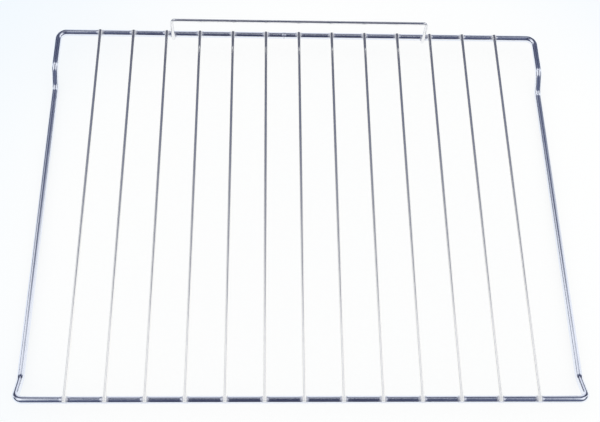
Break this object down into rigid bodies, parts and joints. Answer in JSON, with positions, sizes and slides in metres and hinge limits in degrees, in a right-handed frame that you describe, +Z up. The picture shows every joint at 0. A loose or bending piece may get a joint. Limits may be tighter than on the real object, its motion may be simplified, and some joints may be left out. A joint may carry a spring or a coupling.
{
  "type": "oven shelf rack",
  "caption": "Flat rack of welded round wire: a bent ring with stepped-down side rails, straight cross wires on top and a low guard at the rear, to carry dishes in an oven.",
  "frame": {"origin": "under the middle of the rack, on the surface that its two side rails rest on", "axes": "+X across the width to the right, +Y from the front to the rear, +Z up"},
  "size_m": [0.456, 0.3582, 0.0425],
  "materials": {
    "frame_wire": "bright chrome plate on drawn steel wire",
    "cross_wire": "bright chrome plate on drawn steel wire",
    "rear_guard": "bright chrome plate on drawn steel wire"
  },
  "bodies": {
    "root": {"frame_wire": "frame_wire", "cross_wire_01": "cross_wire", "cross_wire_02": "cross_wire", "cross_wire_03": "cross_wire", "cross_wire_04": "cross_wire", "cross_wire_05": "cross_wire", "cross_wire_06": "cross_wire", "cross_wire_07": "cross_wire", "cross_wire_08": "cross_wire", "cross_wire_09": "cross_wire", "cross_wire_10": "cross_wire", "cross_wire_11": "cross_wire", "cross_wire_12": "cross_wire", "cross_wire_13": "cross_wire", "rear_guard": "rear_guard"}
  },
  "joints": []
}
